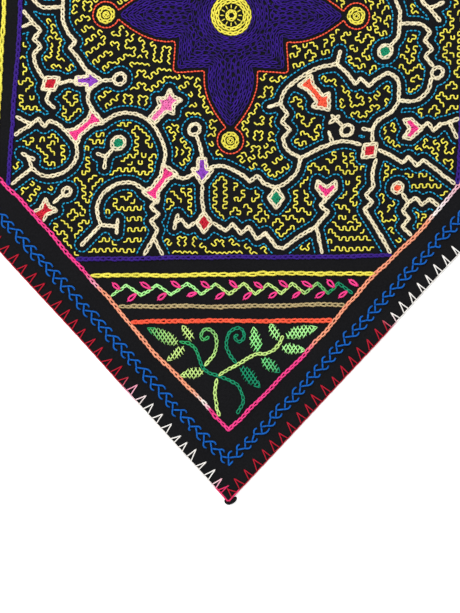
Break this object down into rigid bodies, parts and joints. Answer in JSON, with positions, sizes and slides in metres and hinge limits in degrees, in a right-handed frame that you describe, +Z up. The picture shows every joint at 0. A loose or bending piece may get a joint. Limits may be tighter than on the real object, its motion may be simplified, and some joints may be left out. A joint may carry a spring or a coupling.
{
  "type": "embroidered cloth",
  "caption": "Square black cotton cloth with a narrow hem, lying flat and embroidered in coloured thread with a geometric panel, corner bands and a blanket-stitched edge.",
  "frame": {"origin": "under the middle of the cloth, on the surface that it lies on", "axes": "+Z up out of the cloth's face, X and Y along the cloth's two diagonals, with the near corner of the picture at -Y"},
  "size_m": [0.8952, 0.97, 0.0037],
  "materials": {
    "black_cotton": "matt plain-woven cotton",
    "pink_thread": "pearl cotton thread, soft sheen",
    "peach_thread": "pearl cotton thread, soft sheen",
    "purple_thread": "pearl cotton thread, soft sheen",
    "yellow_thread": "pearl cotton thread, soft sheen",
    "khaki_thread": "pearl cotton thread, soft sheen",
    "orange_thread": "pearl cotton thread, soft sheen",
    "green_thread": "pearl cotton thread, soft sheen",
    "red_thread": "pearl cotton thread, soft sheen",
    "white_thread": "pearl cotton thread, soft sheen",
    "cream_thread": "pearl cotton thread, soft sheen",
    "cyan_thread": "pearl cotton thread, soft sheen",
    "blue_thread": "pearl cotton thread, soft sheen",
    "violet_thread": "pearl cotton thread, soft sheen"
  },
  "bodies": {
    "root": {"ground_cloth": "black_cotton", "frame_line_1": "pink_thread", "frame_line_2": "peach_thread", "frame_line_3": "pink_thread", "frame_line_4": "peach_thread", "panel_line_south": "purple_thread", "panel_line_east": "purple_thread", "panel_line_north": "purple_thread", "panel_line_west": "purple_thread", "yellow_line_south": "yellow_thread", "yellow_line_east": "yellow_thread", "yellow_line_north": "yellow_thread", "yellow_line_west": "yellow_thread", "khaki_line_south": "khaki_thread", "khaki_line_east": "khaki_thread", "khaki_line_north": "khaki_thread", "khaki_line_west": "khaki_thread", "orange_line_south": "orange_thread", "orange_line_east": "orange_thread", "orange_line_north": "orange_thread", "orange_line_west": "orange_thread", "vine_south": "green_thread", "vine_east": "green_thread", "vine_north": "green_thread", "vine_west": "green_thread", "edging_1": "red_thread", "edging_2": "white_thread", "edging_3": "white_thread", "edging_4": "red_thread", "rosette_petals": "purple_thread", "rosette_eye": "yellow_thread"}
  },
  "joints": []
}
